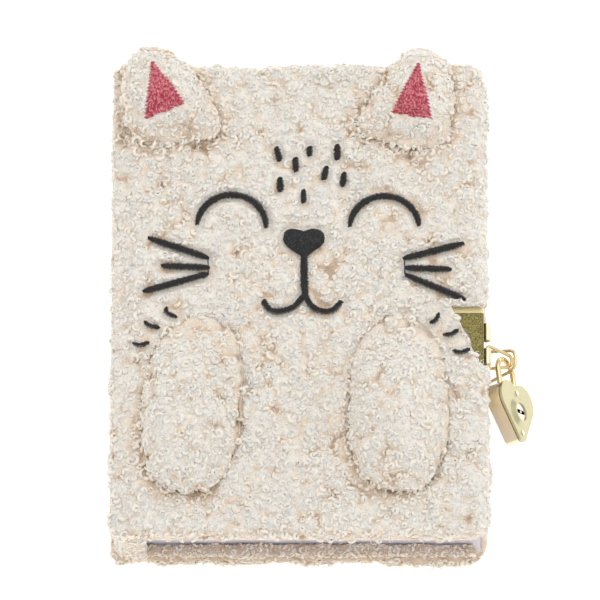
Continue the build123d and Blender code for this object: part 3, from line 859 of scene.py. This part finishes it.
for number, name in enumerate(("ear_left", "ear_right", "paw_left", "paw_right")):
    ground = lumpy(
        name, remeshed(settled(name), 0.65 * MM),
        lambda mm, no: spread_in(no[:, 2], -0.95, -0.8),
        seed=50 + number, recess=ear_recess if name.startswith("ear") else paw_recess, height=2.0,
        shade=lambda mm: 0.55 + 0.45 * spread_in(mm[:, 2], front_outer + 0.4, front_outer + 3.4),
    )
    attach(ground, "front_cover")
    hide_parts(name)
    stuffed[name] = ground

stuffed_tree = tree_of(*(ground.data for ground in stuffed.values()))

# Both covers and the spine: plush drawn over the boards, pressed thin along the
# hinge, open at the fore edge for the clip.
POCKET_DEPTH = 4.65


def cover_outer(inner, side):
    """Outer side of a cover: not the pocket for its board, nor the face against the leaves."""

    def shown(mm, no):
        depth = (mm[:, 2] - inner) * side
        in_pocket = (
            (mm[:, 0] > board_lo[0] - 0.6)
            & (mm[:, 0] < board_hi[0] + 0.6)
            & (np.abs(mm[:, 1]) < board_hi[1] + 0.6)
            & (depth < POCKET_DEPTH)
        )
        return np.where(in_pocket, 0.0, spread_in(depth, 0.5, 1.6))

    return shown


def face_pile(mm):
    """Pile that leaves room for the stitches, and none under the ears and paws."""
    share = np.ones(len(mm))
    for k in np.flatnonzero(mm[:, 2] > front_outer - 2.0):
        x, y, z = mm[k]
        (_, _, half_width), _, distance = stitch_tree.find((x, y, 0.8))
        beside = math.sqrt(max(0, distance**2 - (half_width - 0.8) ** 2)) - half_width
        share[k] = spread_in(np.array([beside]), 0.8, 1.5)[0]
        hit = stuffed_tree.ray_cast(Vector((x, y, z)) * MM, Vector((0, 0, 1)))
        if hit[0] is not None and hit[0].z / MM > front_outer + 0.3:
            share[k] = 0.0
    return share


def round_corner(mm, no):
    """The cloth is drawn round the corners of the case at the spine."""
    across = np.clip((lo[0] + 6 - mm[:, 0]) / 6, 0, 1)
    drawn = 4.5 * (1 - np.sqrt(1 - 0.95 * across**2))
    near_end = spread_in(np.abs(mm[:, 1]), hi[1] - 14, hi[1] - 1)
    out = mm.copy()
    out[:, 1] -= np.sign(mm[:, 1]) * drawn * near_end
    return out


def soft_joint(mm, no):
    """The hinge groove of the front cover, filled by its pile to a gentle slope."""
    high = front_outer - 2.4 * (1 - spread_in(mm[:, 0], lo[0], lo[0] + 10))
    rises = (mm[:, 0] < board_lo[0] + 2.5) & (mm[:, 2] > front_outer - 4.2) & (no[:, 2] > 0.05)
    out = round_corner(mm, no)
    out[:, 2] = np.where(rises, mm[:, 2] + 0.85 * np.clip(high - mm[:, 2], 0, None), mm[:, 2])
    return out


def front_recess(mm):
    """The pile stands fuller over the head edge of the front cover."""
    return 1.3 - 1.1 * spread_in(mm[:, 1], hi[1] - 5, hi[1] - 1)


def back_recess(mm):
    """The pile is pressed flat underneath and stands fuller at the tail."""
    tail = spread_in(-mm[:, 1], hi[1] - 4, hi[1] - 1)
    return 2.5 - 1.1 * spread_in(mm[:, 2], 0.3, 3.0) * (1 + 0.4 * tail)


def back_shade(mm):
    """Tan shadow under the leaves at the tail."""
    return 0.25 + 0.75 * spread_in(mm[:, 1], lo[1] + 2, lo[1] + 6)


def front_shade(mm):
    """Tan shadow beside the paws, under the ears and along the tail edge."""
    shade = np.ones(len(mm))
    right = paw_side(mm)
    for k in np.flatnonzero(mm[:, 2] > front_outer - 3.0):
        x, y, _ = mm[k]
        near = stuffed_tree.find_nearest(Vector((x, y, front_outer + 0.6)) * MM)[3] / MM
        if y > 30:
            shade[k] = near / 6
        else:
            depth = min(1, max(0, (-y - 12) / 28))
            shade[k] = near / 8 + 1 - depth * (1 if right[k] < 8 else 0.25)
    shade = 0.3 + 0.7 * spread_in(shade, 0, 1)
    return shade * (0.6 + 0.4 * spread_in(mm[:, 1], lo[1] + 0.5, lo[1] + 3.5))


front_ground = lumpy(
    "front_plush", remeshed(copy_of("front_plush"), 0.65 * MM), cover_outer(front_inner, 1), face_pile,
    seed=1, recess=front_recess, reshape=soft_joint, shade=front_shade, height=2.2,
)
back_ground = lumpy(
    "back_plush", remeshed(copy_of("back_plush"), 1.0 * MM), cover_outer(back_inner, -1),
    seed=2, recess=back_recess, shade=back_shade, height=1.0, reshape=round_corner,
)


def spine_outer(mm, no):
    """The pile shows on the outer side of the spine."""
    return spread_in(-no[:, 0], -0.2, 0.5)


spine_ground = lumpy(
    "spine_plush", remeshed(copy_of("spine_plush"), 0.9 * MM), spine_outer,
    seed=4, recess=1.8, height=1.0, reshape=round_corner,
)
for ground, name, body in (
    (front_ground, "front_plush", "front_cover"),
    (back_ground, "back_plush", "back_cover"),
    (spine_ground, "spine_plush", "book_block"),
):
    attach(ground, body)
    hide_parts(name)
STRIPS = 6
strip = (hi[1] - lo[1]) / STRIPS
for number in range(STRIPS):
    low_y = lo[1] + strip * number - (2 if number == 0 else 0)
    high_y = lo[1] + strip * (number + 1) + (2 if number == STRIPS - 1 else 0)
    pile_on(
        front_ground, f"front_{number + 1}", "front_cover", seed=20 + number,
        part=lambda mm, a=low_y, b=high_y: (mm[:, 1] >= a) & (mm[:, 1] < b),
    )
END = hi[1] - 6
for end, gap, part in (
    ("head", 1.7, lambda mm: mm[:, 1] >= END),
    ("upper", 2.1, lambda mm: (mm[:, 1] >= 0) & (mm[:, 1] < END)),
    ("lower", 2.1, lambda mm: (mm[:, 1] < 0) & (mm[:, 1] > -END)),
    ("tail", 1.5, lambda mm: mm[:, 1] <= -END),
):
    pile_on(back_ground, f"back_{end}", "back_cover", gap=gap, seed=30, part=part)
pile_on(spine_ground, "spine", "book_block", seed=40)

# Soft rolls of plush where the cloth is turned in: along the leaves at the head
# and tail of the back cover, over both ends of the spine, and above the clip.


def block(low, high):
    """A box given by two corners in millimetres."""
    points = [[(low, high)[(k >> axis) & 1][axis] * MM for axis in range(3)] for k in range(8)]
    sides = ((0, 2, 3, 1), (4, 5, 7, 6), (0, 1, 5, 4), (2, 6, 7, 3), (0, 4, 6, 2), (1, 3, 7, 5))
    return link("source", mesh_of("block", points, faces=sides))


def rounded(source, voxel, rounds):
    """An even mesh over a box, with its edges smoothed a number of rounds."""
    mesh = remeshed(source, voxel)
    shape = bmesh.new()
    shape.from_mesh(mesh)
    for _ in range(rounds):
        bmesh.ops.smooth_vert(
            shape, verts=shape.verts, factor=0.5, use_axis_x=True, use_axis_y=True, use_axis_z=True
        )
    shape.to_mesh(mesh)
    shape.free()
    return mesh


turn_ins = {}
for label, end in (("head", 1), ("tail", -1)):
    near, far = sorted((end * 74.4, end * 78.4))
    turn_ins[f"back_{label}_roll"] = (
        "back_cover",
        (board_lo[0] + 1, near, back_inner - 0.4),
        (board_hi[0] - 1, far, back_inner + 2.0),
        4, 0.25,
    )
    near, far = sorted((end * 75.9, end * 79.0))
    turn_ins[f"spine_{label}_roll"] = (
        "book_block", (lo[0] + 4.0, near, back_inner + 0.7), (-48.6, far, front_inner - 0.7), 10, 0.5
    )
turn_ins["window_roll"] = ("front_cover", (46.4, -2.4, 29.2), (58.6, -0.4, 31.2), 4, 0.8)
for number, (name, (body, low_corner, high_corner, rounds, shade)) in enumerate(turn_ins.items()):
    roll = lumpy(
        name, rounded(block(low_corner, high_corner), 0.6 * MM, rounds), lambda mm, no: np.ones(len(mm)),
        seed=44 + number, recess=0.5, height=0.8, shade=lambda mm: np.full(len(mm), shade),
    )
    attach(roll, body)
    pile_on(roll, name, body, gap=1.2, size=0.85, seed=46 + number)

# Triangles of pink-red satin stitches on the ears, and the pile of the ears
# and paws around them.
# Pink-red satin mottled from dark red to pale pink: the pale pink is painted sheen of the satin thread.
pink = mottle(
    shader("pink_satin", (0.5, 0.08, 0.12), 0.45, Specular_IOR_Level=0.5),
    0.55 * MM, (0.40, 0.024, 0.055), (0.86, 0.36, 0.40), stretch=(1, 0.6, 1), spread=(0.42, 0.72),
)
TEETH = (-0.15, 0.3, 0.65, 0.25)
ROW_TURN = {"left": math.radians(12), "right": math.radians(-10)}
patches = {
    "left": ((-46.8, 77.4), (-48.8, 58.9), (-43.0, 60.4), (-36.7, 63.5)),
    "right": ((37.6, 76.8), (29.4, 60.9), (35.4, 59.2), (41.6, 58.7)),
}
for side, corners in patches.items():
    outline = np.array(corners)
    surface = tree_of(stuffed[f"ear_{side}"].data)
    points, edges = [], []
    for row, (start, end) in enumerate(hatch(outline, 0.26, ROW_TURN[side])):
        length = np.linalg.norm(end - start)
        tooth = TEETH[row % 4] * (end - start) / max(1e-6, length)
        line = arc([start - tooth, end + tooth], max(4, int(length / 0.8)))
        for k, (x, y) in enumerate(line):
            hit = surface.ray_cast(Vector((x, y, front_outer + 30)) * MM, Vector((0, 0, -1)))
            above = 0.25 if 0 < k < len(line) - 1 else -0.2
            height = (hit[0].z if hit[0] is not None else TOP) + above * MM
            if k:
                edges.append((len(points) - 1, len(points)))
            points.append((x * MM, y * MM, height))
    patch = link(f"ear_patch_{side}_thread", mesh_of("patch", points, edges))
    grow(patch, rows, Thickness=0.19 * MM, Material=pink)
    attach(patch, "front_cover")
    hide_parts(f"ear_patch_{side}")


def clear_of(outline):
    """True where a point lies outside a triangle with a little room around it."""
    closed = np.vstack([outline, outline[:1]])
    centre = outline.mean(0)

    def outside(mm):
        inside = np.ones(len(mm), bool)
        for a, b in zip(closed[:-1], closed[1:]):
            n = np.array([-(b - a)[1], (b - a)[0]]) / np.linalg.norm(b - a)
            n *= np.sign((centre - a) @ n)
            inside &= (mm[:, :2] - a) @ n > -0.9
        return ~inside

    return outside


for number, (name, ground) in enumerate(stuffed.items()):
    side = name.split("_")[1]
    free = clear_of(np.array(patches[side])) if name.startswith("ear") else None
    pile_on(ground, name, "front_cover", seed=60 + number, part=free)

# Plain pale floor, soft light from the upper right, and the photograph's
# steep view from in front of the tail of the book.
FLOOR = [(-3, -3, 0), (3, -3, 0), (3, 3, 0), (-3, 3, 0)]
floor = link("floor", mesh_of("floor", FLOOR, faces=[(0, 1, 2, 3)]))
floor.data.materials.append(
    shader("floor_white", (0.95, 0.95, 0.95), 0.9, Emission_Color=(1, 1, 1, 1), Emission_Strength=0.45)
)
world = bpy.data.worlds.new("world")
scene.world = world
world.use_nodes = True
sky_place = field(world.node_tree, "ShaderNodeTexCoord")
sky_height = field(world.node_tree, "ShaderNodeSeparateXYZ")
sky = field(world.node_tree, "ShaderNodeValToRGB")
sky.color_ramp.elements[0].position = 0.0
sky.color_ramp.elements[0].color = (0.62, 0.60, 0.57, 1)
sky.color_ramp.elements[1].position = 0.55
sky.color_ramp.elements[1].color = (1.0, 0.99, 0.97, 1)
world.node_tree.links.new(sky_place.outputs["Generated"], sky_height.inputs[0])
world.node_tree.links.new(sky_height.outputs["Z"], sky.inputs["Fac"])
world.node_tree.links.new(sky.outputs["Color"], world.node_tree.nodes["Background"].inputs["Color"])
world.node_tree.nodes["Background"].inputs["Strength"].default_value = 1.0


def lamp(name, place, target, size, power):
    data = bpy.data.lights.new(name, "AREA")
    data.size = size
    data.energy = power
    made = bpy.data.objects.new(name, data)
    scene.collection.objects.link(made)
    made.location = place
    made.rotation_mode = "QUATERNION"
    made.rotation_quaternion = (Vector(target) - Vector(place)).to_track_quat("-Z", "Y")
    return made


lamp("key", (0.35, 0.5, 0.85), (0, 0, 0.02), 0.9, 1.7)

VIEW_WIDTH = 0.18894
DISTANCE = 2.5
tilt = math.radians(21.5)
up = Vector((0, math.cos(tilt), math.sin(tilt)))
back = Vector((0, -math.sin(tilt), math.cos(tilt)))
camera_data = bpy.data.cameras.new("camera")
camera_data.sensor_width = 36
camera_data.lens = 36 * DISTANCE / VIEW_WIDTH
camera_data.clip_end = 20
camera = bpy.data.objects.new("camera", camera_data)
scene.collection.objects.link(camera)
camera.location = Vector((0.00006, 0, 0)) + up * 0.01052 + back * (0.025 + DISTANCE)
camera.rotation_mode = "QUATERNION"
camera.rotation_quaternion = (-back).to_track_quat("-Z", "Y")
scene.camera = camera
scene.view_settings.view_transform = "Standard"
